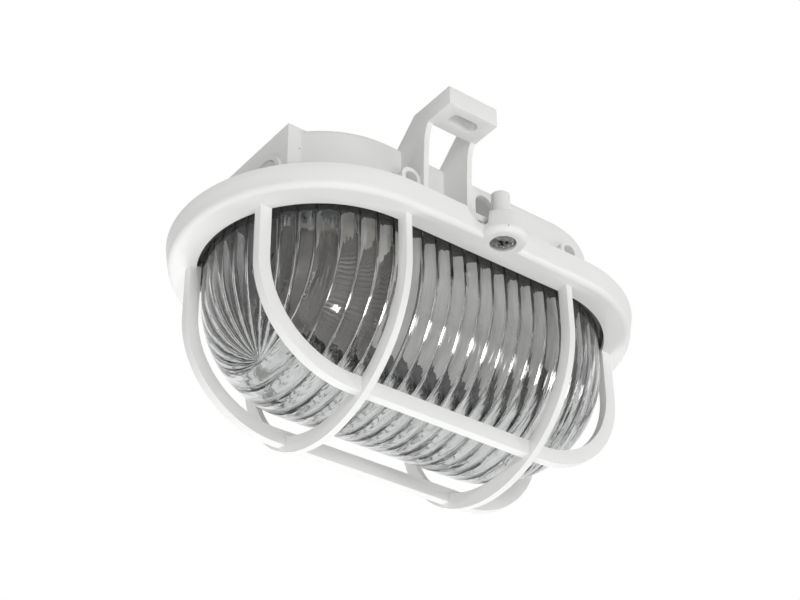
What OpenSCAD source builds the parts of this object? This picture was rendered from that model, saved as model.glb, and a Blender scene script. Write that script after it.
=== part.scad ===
// Oval bulkhead light hung under a ceiling: moulded base with two standing feet,
// hinged guard with a barred cage, ribbed glass, and the lampholder and wiring inside.
// The mounting plane is z = 0, X runs along the light and the glass hangs down.

/* [Overall] */
// Length of the guard ring over its rounded ends
ring_len = 194; // [162:1:234]
// Width of the guard ring
ring_w = 115; // [108:1:138]
// Distance from the mounting plane down to the front of the guard ring
drop = 47.5; // [46:0.5:58]
// Gap between the mounting plane and the back of the base
back_gap = 10; // [8:0.5:12]

/* [Base] */
// Wall thickness of the moulded base
wall = 2.2; // [1.8:0.1:2.6]
// Step from the guard ring's outside in to the base wall
wall_step = 16.2; // [15:0.1:18]
// Radius of the rounded back edge of the base
back_r = 2.5; // [2:0.5:4]
// Thickness of the rim flange that presses on the gasket
flange_t = 2.7; // [2:0.1:3.2]
// Half width of the square end with the cable entries
box_half = 28.7; // [27.5:0.1:31]
// How far the square end stops short of the oval's end
box_cut = 6; // [4:0.5:8]
// Diameter of a cable entry hole
entry_d = 16; // [12:0.5:16.5]
// Sideways place of each cable entry
entry_y = 15.6; // [14:0.1:17]
// How far the entry collar stands out
collar_h = 1.6; // [1:0.1:3]
// Outside diameter of the tube bosses on the long sides
tube_d = 8.5; // [7:0.1:9]
// Distance of each tube boss from the middle
tube_x = 37.6; // [30:0.1:39]
// Width of the arched hole in the long wall behind the closing boss
side_hole_w = 8.2; // [6:0.1:9]

/* [Feet] */
// Distance of each foot's middle from the middle of the light
foot_x = 22.75; // [21:0.25:24]
// Width of a foot pad along the light
pad_w = 22; // [20:0.5:24]
// Thickness of a foot pad
pad_t = 8; // [6:0.5:9]
// How far a pad stands out from its legs
pad_out = 12.5; // [11:0.5:16]
// Thickness of a leg
leg_t = 2.2; // [1.8:0.1:3]
// Length of the screw slot in a pad
slot_len = 12; // [9:0.5:14]
// Width of the screw slot in a pad
slot_w = 5.4; // [4:0.1:6]

/* [Guard] */
// Height of the guard ring's skirt
ring_h = 8.9; // [8.6:0.1:9.4]
// Thickness of the ring's front plate
plate_t = 2.3; // [2:0.1:2.6]
// Width of the front plate from the outside to the opening
plate_w = 11.6; // [11:0.1:12.4]
// How much the skirt draws in towards the front
ring_draft = 1.1; // [0:0.1:1.3]
// Width of a cage bar that runs along
bar_w = 3.6; // [3:0.1:4.4]
// Width of a cage bar that runs across
cross_w = 2.6; // [2:0.1:4]
// Distance between the two bars that run across
cross_gap = 75; // [60:1:78]
// Distance between the two bars that run along
long_gap = 46.3; // [40:0.1:50]
// Gap between the lowest point of the glass and the cross bars
cross_clear = 6.2; // [4:0.1:10]
// How much higher than the cross bars the long bars run
long_rise = 7.7; // [6:0.1:8.2]
// Depth of a cross bar at the bottom of the cage
bar_deep = 6.4; // [5.6:0.1:7]
// Depth of a long bar at the bottom of the cage
long_deep = 5.8; // [5:0.1:6.4]
// Depth of a cage bar where it leaves the ring
bar_root = 4.6; // [4:0.1:5.5]

/* [Glass] */
// Gap between the glass and the guard's opening
glass_gap = 2.4; // [1.2:0.1:3]
// Wall thickness of the glass
glass_t = 3.2; // [2.4:0.1:4]
// Depth of the straight upper part of the glass below the ring
glass_straight = 11.5; // [9:0.5:13]
// Distance between two grooves on the inside of the glass
rib_pitch = 6.4; // [5:0.1:8]
// Width of a groove
groove_w = 1.6; // [1.2:0.1:2]
// Depth of a groove
groove_deep = 0.9; // [0.5:0.1:1.2]
// Number of fanned grooves on each side of an end's middle
fan_n = 5; // [3:1:6]
// Thickness of the rubber gasket
gasket_t = 2.3; // [2:0.1:2.6]

/* [Fittings] */
// Diameter of the closing screw's head
head_d = 8.8; // [8:0.1:9]
// Diameter of the closing screw's shank
shank_d = 4; // [3.5:0.1:4.2]
// Diameter of the hinge pin
pin_d = 4; // [3:0.1:4.5]
// Outside diameter of the lampholder
holder_d = 38; // [34:0.5:40]
// Length of the lampholder
holder_len = 42; // [38:0.5:46]
// Distance from the mounting plane down to the lamp axis
lamp_drop = 50; // [48:0.5:54]

/* [Hidden] */
$fn = 64;
// Small overlap that joins the pieces of one solid
eps = 0.6;
// Running clearance round the pin and the screw
run_gap = 0.4;
// Gap between mouldings that close on each other
close_gap = 0.5;
// Half the distance between the centres of the rounded ends
mid = (ring_len - ring_w) / 2;
ring_r = ring_w / 2;
skirt_t = 2.2;
skirt_in = ring_r - skirt_t;
open_r = ring_r - plate_w;
edge_r = 2.5;
front_r = ring_r - ring_draft;
base_r = ring_r - wall_step;
flange_r = skirt_in - close_gap;
lip_t = 1.6;
z_front = -drop;
z_plate = z_front + plate_t;
z_skirt = z_front + ring_h;
rim_t = 3;
z_rim = z_plate + rim_t;
z_seat = z_rim + gasket_t;
z_flange = z_seat + flange_t;
z_back = -back_gap;
z_ceiling = z_back - wall;
x_flat = -(mid + base_r - box_cut);
entry_z = z_flange + entry_d / 2 + 0.4;
collar_w = 2;
tube_z = z_flange + 5.2;
tube_bore = tube_d - 3.2;
tube_len = 10.7;
// Closing lug, its screw and the boss that takes it
lug_r = 9;
lug_top_r = 7.8;
lug_y = -(ring_r - 1);
lug_top = z_skirt + 1.1;
head_h = 2.7;
z_head = z_front + 0.3;
z_bear = z_head + head_h;
z_floor = z_front + 6.9;
boss_r = 5;
post_r = 3.5;
retainer_t = 1.2;
retainer_r = 4;
z_boss = z_floor + retainer_t + run_gap;
z_post = z_skirt + 12.7;
screw_len = 10;
screw_hole = shank_d + 2 * run_gap + 0.2;
// Hinge on the far side
hinge_y = ring_r + 4.8;
hinge_z = z_skirt + 2.1;
hinge_r = 4.2;
ear_x = 13;
ear_w = 6;
knuckle_x = ear_x - run_gap;
pin_hole = pin_d + 2 * run_gap;
pin_head_r = 3.4;
// Glass
glass_r = open_r - glass_gap;
glass_in = glass_r - glass_t;
glass_rim_r = ring_r - 7.5;
z_dome = z_front - glass_straight;
gasket_in = base_r - wall - 2.6;
// Gap between the glass and the long bars, and how far the cross bars sit towards the cable entries
bar_gap = 0.5;
cross_shift = 0.5;
// Depth of the cross bars and of the long bars below the ring, to their lowest points
cross_drop = glass_straight + glass_r + cross_clear + bar_deep;
long_drop = cross_drop - long_rise;
// Number of grooves across on each side; the last one is where an end's grooves fan out from
rib_n = floor((mid + 0.61 * glass_in) / rib_pitch);
fan_x = rib_n * rib_pitch;
// How far from there the fanned grooves start, and their even step round the end's centre
fan_start = 14;
fan_step = acos((fan_x - mid) / glass_in) / (fan_n + 1);
z_groove = z_rim + 0.5;
// Lampholder and its bracket
holder_r = holder_d / 2;
bracket_t = 1.5;
bracket_half = 9;
bracket_x = x_flat + wall + 11;
holder_x = bracket_x + bracket_t;
bracket_run = 24;
stud_h = 4;
stud_r = 4;
stud_x1 = bracket_x + 8;
stud_x2 = bracket_x + 19;
z_stud = z_ceiling - stud_h;
z_strip = z_stud - bracket_t;
fix_d = 2.8;
shell_r = 14.4;
shell_in = 13.4;
cup_r = shell_r + run_gap;
floor_x = 14;
holder_fix_y = 6;
block_x = bracket_x + bracket_run + 6;
block_len = 18;
block_w = 20;
block_y = 2;
block_h = 13;
pole_y1 = 7;
pole_y2 = 17;
pole_z = z_ceiling - 7;
tube_r = 2.2;
wire_r = 1.2;
wire_bend = 5;

base();
guard();
glass();
gasket();
closing_screw();
hinge_pin();
lampholder_body();
lampholder_shell();
centre_contact();
lampholder_bracket();
bracket_screws();
holder_screws();
terminal_block();
terminal_tubes();
terminal_screws();
block_screw();
wire_live();
wire_neutral();
cable_grommets();
screw_retainer();

// A half section (radius, height) carried round an oval: two half turns and the straight between them
module oval() {
  translate([mid, 0, 0]) rotate([0, 0, -90]) rotate_extrude(angle = 180) children();
  translate([-mid, 0, 0]) rotate([0, 0, 90]) rotate_extrude(angle = 180) children();
  translate([-mid, 0, 0]) rotate([90, 0, 90]) linear_extrude(2 * mid) {
    children();
    mirror([1, 0]) children();
  }
}

// A plain oval block from z0 to z1
module oval_block(r, z0, z1) {
  translate([0, 0, z0]) linear_extrude(z1 - z0) {
    translate([mid, 0]) circle(r);
    translate([-mid, 0]) circle(r);
    square([2 * mid, 2 * r], center = true);
  }
}

// A round bar along X
module bar_x(r, x0, x1, y, z) {
  translate([x0, y, z]) rotate([0, 90, 0]) cylinder(r = r, h = x1 - x0);
}

// A round bar along Y
module bar_y(r, y0, y1, x, z) {
  translate([x, y1, z]) rotate([90, 0, 0]) cylinder(r = r, h = y1 - y0);
}

// A box given by its two corners
module block(a, b) {
  translate(a) cube(b - a);
}

// Half section of the base's outside, with the rounded back edge
module base_section() {
  translate([0, z_seat]) square([base_r, z_back - back_r - z_seat]);
  translate([0, z_back - back_r - eps]) square([base_r - back_r, back_r + eps]);
  translate([base_r - back_r, z_back - back_r]) circle(back_r);
}

// Half section of one foot's leg: out from the wall, up to the pad, and back down its slanted rear edge
module leg_section() {
  near = ring_r - 3.6;
  polygon([
    [base_r - 1, z_flange - eps],
    [near, z_flange - eps],
    [near + 0.6, z_flange + 14],
    [near + 1.3, -pad_t - 6],
    [near + 2.2, -pad_t - 2.4],
    [near + 3.6, -pad_t],
    [near + 3.6, 0],
    [ring_r - 8, 0],
    [base_r - 2.2, z_back + 0.8],
    [base_r - 2.2, z_back - 3]
  ]);
}

// One foot on the side of negative Y: two legs and the slotted pad
module foot() {
  pad_y = ring_r;
  x0 = -foot_x - pad_w / 2;
  x1 = -foot_x + pad_w / 2;
  for (x = [x0, x1 - leg_t])
    translate([x, 0, 0]) mirror([0, 1, 0]) rotate([90, 0, 90]) linear_extrude(leg_t) leg_section();
  difference() {
    block([x0, -pad_y - pad_out, -pad_t], [x1, -pad_y + eps, 0]);
    slot_half = (slot_len - slot_w) / 2;
    translate([-foot_x, -pad_y - pad_out / 2, -pad_t - 1]) linear_extrude(pad_t + 2) {
      translate([-slot_half, 0]) circle(slot_w / 2);
      translate([slot_half, 0]) circle(slot_w / 2);
      square([2 * slot_half, slot_w], center = true);
    }
  }
}

// One hollow tube boss on the long wall, on the side of negative Y
module tube_boss(x) {
  bar_y(tube_d / 2, -base_r - tube_len, -base_r + 1, x, tube_z);
  block([x - tube_d / 2, -base_r - tube_len, z_flange - eps], [x + tube_d / 2, -base_r + 1, tube_z]);
}

// The base: oval cup with a square end, rim flange, feet, entries, closing boss and hinge ears
module base() {
  color("white") difference() {
    union() {
      difference() {
        oval() base_section();
        block([x_flat - 60, -ring_w, z_seat - 1], [x_flat, ring_w, 1]);
      }
      block([x_flat, -box_half, z_seat], [x_flat + 22, box_half, z_back]);
      oval_block(flange_r, z_seat, z_flange);
      rim_lip();
      for (y = [-entry_y, entry_y])
        bar_x(entry_d / 2 + collar_w, x_flat - collar_h, x_flat + 1, y, entry_z);
      for (a = [0, 180])
        rotate([0, 0, a]) {
          foot();
          tube_boss(-tube_x);
          tube_boss(tube_x);
        }
      translate([0, lug_y, z_boss]) cylinder(r = boss_r, h = z_flange - z_boss + 0.2);
      translate([0, lug_y, z_boss]) cylinder(r = post_r, h = z_post - z_boss);
      for (x = [-ear_x - ear_w, ear_x]) {
        bar_x(hinge_r, x, x + ear_w, hinge_y, hinge_z);
        block([x, base_r - 1, z_skirt + run_gap], [x + ear_w, hinge_y, hinge_z + hinge_r]);
      }
    }
    base_hollow();
    for (y = [-entry_y, entry_y])
      bar_x(entry_d / 2, x_flat - 9, x_flat + wall + 1, y, entry_z);
    for (a = [0, 180], x = [-tube_x, tube_x])
      rotate([0, 0, a]) bar_y(tube_bore / 2, -base_r - tube_len - 1, -base_r - 1.6, x, tube_z);
    arched_hole(5.3, z_back - 8.3);
    for (x = [-tube_x + 2.4, tube_x + 3.6])
      vent(x);
    translate([0, lug_y, z_seat - 1]) cylinder(r = retainer_r + close_gap, h = z_boss - z_seat + 1);
    translate([0, lug_y, z_boss - 1]) cylinder(d = screw_hole, h = screw_len + 1);
    bar_x(pin_hole / 2, -ear_x - ear_w - 1, ear_x + ear_w + 1, hinge_y, hinge_z);
    for (x = [stud_x1, stud_x2])
      translate([x, 0, z_stud - 1]) cylinder(d = fix_d + 2 * run_gap, h = stud_h + 1.6);
    block_hole = fix_d + 2 * run_gap;
    translate([block_x + block_len / 2, block_y + block_w / 2, z_ceiling - 1])
      cylinder(d = block_hole, h = 2.4);
  }
}

// Lip of the flange that stands down inside the guard's skirt, left out round the closing lug
module rim_lip() {
  difference() {
    oval_block(flange_r, z_plate + 1.2, z_seat + eps);
    oval_block(flange_r - lip_t, z_plate, z_seat + 2);
    translate([0, lug_y, z_front]) cylinder(r = lug_r + 1, h = z_seat + 0.1 - z_front);
  }
}

// A hole with a round top and straight sides in the near long wall
module arched_hole(x, z) {
  half = side_hole_w / 2;
  bar_y(half, -base_r - 4, -base_r + wall + 1, x, z);
  block([x - half, -base_r - 4, z - 9], [x + half, -base_r + wall + 1, z]);
}

// A small vent slot low in the long wall
module vent(x) {
  bar_y(2.2, -base_r - 1.5, -base_r + wall + 1, x - 1.8, z_flange + 12);
  bar_y(2.2, -base_r - 1.5, -base_r + wall + 1, x + 1.8, z_flange + 12);
  block([x - 1.8, -base_r - 1.5, z_flange + 9.8], [x + 1.8, -base_r + wall + 1, z_flange + 14.2]);
}

// The hollow inside the base, left round the two studs that carry the bracket
module base_hollow() {
  difference() {
    union() {
      difference() {
        oval_block(base_r - wall, z_seat - 1, z_ceiling);
        block([x_flat - 60, -ring_w, z_seat - 2], [x_flat + wall, ring_w, 1]);
      }
      block([x_flat + wall, -box_half + wall, z_seat - 1], [x_flat + 22, box_half - wall, z_ceiling]);
    }
    for (x = [stud_x1, stud_x2])
      translate([x, 0, z_stud]) cylinder(r = stud_r, h = stud_h + 1);
  }
}

// Half section of the guard ring: front plate, rounded outer edge and skirt
module ring_section() {
  difference() {
    union() {
      polygon([
        [open_r, z_front],
        [front_r - edge_r, z_front],
        [front_r - edge_r, z_front + edge_r],
        [front_r, z_front + edge_r],
        [ring_r, z_skirt],
        [open_r, z_skirt]
      ]);
      translate([front_r - edge_r, z_front + edge_r]) circle(edge_r);
    }
    translate([open_r - 1, z_plate]) square([skirt_in - open_r + 1, ring_h]);
  }
}

// Outline of a cross bar: straight sides and a half round below
module cross_outline(r, low) {
  intersection() {
    translate([0, z_front - low + r]) circle(r, $fn = 96);
    translate([-r - 1, z_front - low - 1]) square([2 * r + 2, r + 1 + eps]);
  }
  translate([-r, z_front - low + r]) square([2 * r, low - r + plate_t / 2]);
}

// Outline of a long bar: straight sides, rounded corners and a flat bottom
module long_outline(half, low, r) {
  intersection() {
    for (s = [-1, 1])
      translate([s * (half - r), z_front - low + r]) circle(r);
    translate([-half - 1, z_front - low - 1]) square([2 * half + 2, r + 1 + eps]);
  }
  translate([-half, z_front - low + r]) square([2 * half, low - r + plate_t / 2]);
  translate([-(half - r), z_front - low]) square([2 * (half - r), r + eps]);
}

// The four bars of the cage
module cage() {
  cross_in = open_r + 0.3;
  long_in = mid + sqrt(pow(glass_r + bar_gap, 2) - pow(long_gap / 2 - bar_w / 2, 2));
  for (x = [-cross_gap / 2, cross_gap / 2])
    translate([x - cross_w / 2 - cross_shift, 0, 0]) rotate([90, 0, 90]) linear_extrude(cross_w)
      difference() {
        cross_outline(cross_in + bar_root, cross_drop);
        translate([0, eps]) cross_outline(cross_in, cross_drop - bar_deep + eps);
      }
  for (y = [-long_gap / 2, long_gap / 2])
    translate([0, y + bar_w / 2, 0]) rotate([90, 0, 0]) linear_extrude(bar_w) difference() {
      long_outline(long_in + bar_root, long_drop, 40);
      translate([0, eps]) long_outline(long_in, long_drop - long_deep + eps, 35);
    }
}

// The closing lug with its rounded front edge
module lug() {
  r = 2.2;
  translate([0, lug_y, 0]) rotate_extrude() {
    polygon([[0, z_front + r], [lug_r, z_front + r], [lug_top_r, lug_top], [0, lug_top]]);
    translate([0, z_front]) square([lug_r - r, r + eps]);
    translate([lug_r - r, z_front + r]) circle(r);
  }
}

// The guard: ring, cage, closing lug and hinge knuckle in one moulding
module guard() {
  color("white") difference() {
    union() {
      oval() ring_section();
      cage();
      difference() {
        lug();
        block([-20, -glass_rim_r - 0.6, z_plate], [20, 0, 0]);
        oval_block(skirt_in, z_floor, 0);
      }
      block([-knuckle_x, ring_r - 2, z_front + 2.6], [knuckle_x, hinge_y + 1.4, hinge_z]);
      bar_x(hinge_r, -knuckle_x, knuckle_x, hinge_y, hinge_z);
    }
    translate([0, lug_y, z_floor]) cylinder(r = boss_r + close_gap, h = 20);
    translate([0, lug_y, z_front - 1]) cylinder(r = head_d / 2 + 0.5, h = z_bear - z_front + 1);
    translate([0, lug_y, z_bear - 1]) cylinder(d = screw_hole, h = 6);
    bar_y(10, -ring_r - 1, -skirt_in + 0.1, -lug_top_r - 1.2, z_front + 14.6);
    bar_x(pin_hole / 2, -knuckle_x - 1, knuckle_x + 1, hinge_y, hinge_z);
  }
}

// Half section of the glass from outside: dome, straight part and rim
module glass_section() {
  translate([0, z_dome]) square([glass_r, z_rim - z_dome]);
  translate([0, z_plate]) square([glass_rim_r, rim_t]);
  intersection() {
    translate([0, z_dome]) circle(glass_r, $fn = 96);
    translate([0, z_dome - glass_r]) square([glass_r, glass_r + eps]);
  }
}

// Half section of a hollow of the glass with the given radius
module hollow_section(r) {
  translate([0, z_dome]) square([r, z_rim - z_dome + 1]);
  intersection() {
    translate([0, z_dome]) circle(r, $fn = 96);
    translate([0, z_dome - r]) square([r, r + eps]);
  }
}

// Angle of a fanned groove, so that the grooves meet the end's wall evenly
function fan_turn(i) = atan2(glass_in * sin(i * fan_step), glass_in * cos(i * fan_step) - fan_x + mid);

// Plates as wide as the grooves: across the middle, and fanned out at each end
module groove_plates() {
  low = z_dome - ring_r;
  for (i = [-rib_n:rib_n])
    block([i * rib_pitch - groove_w / 2, -ring_r, low], [i * rib_pitch + groove_w / 2, ring_r, z_groove]);
  for (turn = [0, 180], i = [-fan_n:fan_n])
    rotate([0, 0, turn]) translate([fan_x, 0, 0]) rotate([0, 0, fan_turn(i)])
      block([fan_start, -groove_w / 2, low], [ring_r, groove_w / 2, z_groove]);
}

// The hollow of the glass: the space inside the beads, and the grooves between them
module glass_hollow() {
  oval() hollow_section(glass_in - groove_deep);
  intersection() {
    oval() hollow_section(glass_in);
    groove_plates();
  }
}

// The pressed glass
module glass() {
  color([0.85, 0.9, 0.92, 0.5]) difference() {
    oval() glass_section();
    glass_hollow();
  }
}

// Flat rubber ring between the glass rim and the base's flange
module gasket() {
  color("dimgray") difference() {
    oval_block(glass_rim_r, z_rim, z_seat);
    oval_block(gasket_in, z_rim - 1, z_seat + 1);
  }
}

// Cross recess of a screw head, open towards negative Z
module cross_recess(size, deep) {
  for (a = [0, 90])
    rotate([0, 0, a]) translate([-size / 2, -size / 8, -1]) cube([size, size / 4, deep + 1]);
}

// Pan head screw pointing up, its head's bearing face at z = 0
module pan_screw(head, high, shank, long) {
  difference() {
    union() {
      rotate_extrude() {
        translate([0, -high + 1]) square([head / 2, high - 1]);
        translate([0, -high]) square([head / 2 - 1, 1 + eps]);
        translate([head / 2 - 1, -high + 1]) circle(1);
      }
      translate([0, 0, -0.5]) cylinder(d = shank, h = long + 0.5);
    }
    translate([0, 0, -high]) cross_recess(head * 0.55, high * 0.6);
  }
}

// The captive screw that closes the guard
module closing_screw() {
  color("silver") translate([0, lug_y, z_bear]) pan_screw(head_d, head_h, shank_d, screw_len);
}

// Nylon ring that keeps the closing screw in the lug
module screw_retainer() {
  color("ivory") translate([0, lug_y, z_floor]) difference() {
    cylinder(r = retainer_r, h = retainer_t);
    translate([0, 0, -1]) cylinder(d = shank_d + 0.6, h = 4);
  }
}

// Steel pin through the ears and the knuckle, with a round head at each end
module hinge_pin() {
  color("silver") {
    bar_x(pin_d / 2, -ear_x - ear_w - 0.8, ear_x + ear_w + 0.8, hinge_y, hinge_z);
    bar_x(pin_head_r, -ear_x - ear_w - 1.4, -ear_x - ear_w, hinge_y, hinge_z);
    bar_x(pin_head_r, ear_x + ear_w, ear_x + ear_w + 1.4, hinge_y, hinge_z);
  }
}

// Insulating body of the lampholder, open towards positive X
module lampholder_body() {
  z = -lamp_drop;
  color("whitesmoke") difference() {
    union() {
      bar_x(holder_r - 3, holder_x, holder_x + 12, 0, z);
      bar_x(holder_r, holder_x + 10, holder_x + holder_len, 0, z);
    }
    bar_x(cup_r, holder_x + floor_x, holder_x + holder_len + 1, 0, z);
    for (y = [-holder_fix_y, holder_fix_y])
      bar_x((fix_d + 2 * run_gap) / 2, holder_x - 1, holder_x + 6, y, z);
    for (y = [pole_y1, pole_y2])
      translate([wire_x(y), y, wire_end(y) - 0.6]) cylinder(r = wire_r + run_gap, h = holder_r);
  }
}

// Threaded metal shell of the lampholder: a sleeve with rolled rounds inside
module lampholder_shell() {
  z = -lamp_drop;
  x0 = holder_x + floor_x;
  color("gold") translate([x0, 0, z]) rotate([0, 90, 0]) rotate_extrude() difference() {
    translate([shell_in, 0]) square([shell_r - shell_in, holder_len - floor_x - 3]);
    for (i = [0:5])
      translate([shell_in - 1.1, 4 + i * 3.6]) circle(1.6, $fn = 24);
  }
}

// Sprung centre contact on the floor of the lampholder
module centre_contact() {
  z = -lamp_drop;
  x0 = holder_x + floor_x;
  color("gold") {
    block([x0, -4, z - 9], [x0 + 0.8, 4, z + 4]);
    bar_x(3, x0, x0 + 3, 0, z);
  }
}

// Steel strip that carries the lampholder under the base's studs
module lampholder_bracket() {
  color("lightgray") difference() {
    union() {
      block([bracket_x, -bracket_half, z_strip], [bracket_x + bracket_run, bracket_half, z_stud]);
      block([bracket_x, -bracket_half, -lamp_drop - 12], [bracket_x + bracket_t, bracket_half, z_stud]);
    }
    for (x = [stud_x1, stud_x2])
      translate([x, 0, z_strip - 1]) cylinder(d = fix_d + 2 * run_gap, h = 4);
    for (y = [-holder_fix_y, holder_fix_y])
      bar_x((fix_d + 2 * run_gap) / 2, bracket_x - 1, bracket_x + 4, y, -lamp_drop);
  }
}

// Two screws that hold the bracket to the studs
module bracket_screws() {
  color("silver") for (x = [stud_x1, stud_x2])
    translate([x, 0, z_strip]) pan_screw(5.4, 2, fix_d, stud_h);
}

// Two screws that hold the lampholder to the bracket
module holder_screws() {
  color("silver") for (y = [-holder_fix_y, holder_fix_y])
    translate([bracket_x, y, -lamp_drop]) rotate([0, 90, 0]) pan_screw(5.4, 2, fix_d, 6);
}

// Insulating body of the two pole terminal block
module terminal_block() {
  color("whitesmoke") difference() {
    block([block_x, block_y, z_ceiling - block_h], [block_x + block_len, block_y + block_w, z_ceiling]);
    for (y = [pole_y1, pole_y2]) {
      bar_x(tube_r + 0.3, block_x - 1, block_x + block_len + 1, y, pole_z);
      for (x = [4.5, block_len - 4.5])
        translate([block_x + x, y, z_ceiling - block_h - 1]) cylinder(r = 2, h = block_h - 7 + 1);
    }
    translate([block_x + block_len / 2, block_y + block_w / 2, z_ceiling - block_h - 1]) {
      cylinder(d = fix_d + 2 * run_gap, h = block_h + 2);
      cylinder(r = 3.1, h = 5);
    }
  }
}

// Brass tubes of the terminal block
module terminal_tubes() {
  color("gold") for (y = [pole_y1, pole_y2])
    difference() {
      bar_x(tube_r, block_x + 1.5, block_x + block_len - 1.5, y, pole_z);
      bar_x(wire_r + 0.3, block_x, block_x + block_len, y, pole_z);
      for (x = [4.5, block_len - 4.5])
        translate([block_x + x, y, pole_z - 4]) cylinder(r = 1.15, h = 4);
    }
}

// Clamping screws of the terminal block
module terminal_screws() {
  color("silver") for (y = [pole_y1, pole_y2], x = [4.5, block_len - 4.5])
    difference() {
      translate([block_x + x, y, z_ceiling - block_h + 1.5]) union() {
        cylinder(r = 1.6, h = 2);
        cylinder(r = 0.85, h = block_h - 1.5 - 7 - wire_r - 0.35);
      }
      translate([block_x + x - 2, y - 0.25, z_ceiling - block_h + 1]) cube([4, 0.5, 1.3]);
    }
}

// Screw that holds the terminal block to the base
module block_screw() {
  color("silver") translate([block_x + block_len / 2, block_y + block_w / 2, z_ceiling - block_h + 4])
    pan_screw(5.4, 2, fix_d, block_h - 4 + 0.9);
}

// Where along the lampholder a wire drops in
function wire_x(y) = holder_x + (y == pole_y1 ? 20 : 14.5);

// Height at which a lead ends inside the lampholder
function wire_end(y) = -lamp_drop + sqrt(holder_r * holder_r - y * y) - 2;

// A lead from the terminal block to the top of the lampholder
module lead(y) {
  x = wire_x(y);
  z_end = wire_end(y);
  bar_x(wire_r, x + wire_bend, block_x + 8, y, pole_z);
  translate([x + wire_bend, y, pole_z - wire_bend]) rotate([90, 0, 0]) rotate([0, 0, 90])
    rotate_extrude(angle = 90) translate([wire_bend, 0]) circle(wire_r, $fn = 24);
  translate([x, y, z_end]) cylinder(r = wire_r, h = pole_z - wire_bend - z_end, $fn = 24);
}

// Live lead
module wire_live() {
  color("brown") lead(pole_y1);
}

// Neutral lead
module wire_neutral() {
  color("royalblue") lead(pole_y2);
}

// Membrane grommets pressed into the two cable entries
module cable_grommets() {
  r = entry_d / 2 - 0.3;
  color("gainsboro") for (y = [-entry_y, entry_y])
    translate([x_flat, y, entry_z]) rotate([0, 90, 0]) rotate_extrude() {
      difference() {
        translate([0, -collar_h + 0.4]) square([r, collar_h - 0.4 + wall + 1.6]);
        translate([-1, 0.4]) square([r - 0.8, 10]);
      }
      translate([r - 2, wall]) square([3.6, 1.6]);
      polygon([[0, -collar_h + 0.6], [0, -collar_h - 2.4], [3, -collar_h - 2.4], [5.2, -collar_h + 0.6]]);
    }
}
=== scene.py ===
"""Looks of the oval bulkhead light: white mouldings, ribbed glass, plated screws and the fittings inside."""

import logging
import math
from dataclasses import dataclass, field
from enum import Enum

import bmesh
import bpy
from bpy.types import Material, Mesh, Node, NodeOutputs, NodeSocket, NodeTree, Object
from mathutils import Matrix, Vector


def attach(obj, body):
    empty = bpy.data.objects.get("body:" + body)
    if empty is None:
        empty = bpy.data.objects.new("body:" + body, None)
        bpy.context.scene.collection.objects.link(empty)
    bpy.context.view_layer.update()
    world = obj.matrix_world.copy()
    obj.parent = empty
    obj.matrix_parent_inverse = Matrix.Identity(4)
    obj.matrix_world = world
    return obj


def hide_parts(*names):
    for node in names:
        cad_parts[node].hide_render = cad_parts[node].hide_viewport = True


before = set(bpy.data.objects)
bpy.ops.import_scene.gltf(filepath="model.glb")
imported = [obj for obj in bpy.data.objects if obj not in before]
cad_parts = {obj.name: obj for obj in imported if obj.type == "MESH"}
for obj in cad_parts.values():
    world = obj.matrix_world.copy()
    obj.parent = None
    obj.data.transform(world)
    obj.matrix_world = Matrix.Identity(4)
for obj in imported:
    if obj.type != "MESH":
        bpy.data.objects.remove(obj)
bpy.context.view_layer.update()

log = logging.getLogger("bulkhead_light")
MM = 0.001
# Middle of the light, which the lamps are aimed at, m.
AIM = Vector((0.0, 0.0, -0.06))
# Points of a laid mesh nearer than the first are merged, edges shorter than the second dissolved.
MERGE_MM = 0.005
SLIVER_MM = 0.001
# Slack for comparing places, mm.
TINY = 1e-6
# Finer noises in a finish's colour variation, and how far its roughness strays to each side.
PATCH_DETAIL = 3.0
ROUGHNESS_SPREAD = 0.15
# Colour of a speck in a moulding, and the share of its radius that is fully dark.
SPECK_COLOUR = "#8E8E8C"
SPECK_CORE = 0.5


class Rider(Enum):
    """The CAD bodies that pieces ride on."""

    BASE = "base_body"
    GUARD = "guard_body"


def linear(hex_colour: str) -> tuple[float, float, float, float]:
    """Turns an sRGB hex colour into linear RGBA.

    Args:
        hex_colour: Colour such as "#E4E4E2".

    Returns:
        Linear red, green and blue, with an alpha of 1.
    """
    values = [int(hex_colour[i:i + 2], 16) / 255 for i in (1, 3, 5)]
    # The standard sRGB curve.
    parts = [v / 12.92 if v <= 0.04045 else ((v + 0.055) / 1.055) ** 2.4 for v in values]
    return parts[0], parts[1], parts[2], 1.0


def add(tree: NodeTree, kind: str, settings: dict | None = None, links: dict | None = None) -> Node:
    """Adds one node with its settings and links.

    Args:
        tree: Node tree to add to.
        kind: Blender's name of the node type.
        settings: Properties of the node by name, or values of its input sockets by name or index.
        links: Output sockets that feed the node's inputs, by input name or index. A node stands for its
            first output.

    Returns:
        The new node.
    """
    node = tree.nodes.new(kind)
    for key, value in (settings or {}).items():
        if isinstance(key, str) and hasattr(node, key):
            setattr(node, key, value)
        else:
            node.inputs[key].default_value = value
    for key, source in (links or {}).items():
        tree.links.new(source.outputs[0] if isinstance(source, Node) else source, node.inputs[key])
    return node


def per_mm(size_mm: float) -> float:
    """Gives the texture scale of a pattern on Object coordinates.

    Args:
        size_mm: Size of one cell of the pattern.

    Returns:
        The scale at which a cell has that size.
    """
    return 1.0 / (size_mm * MM)


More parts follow.
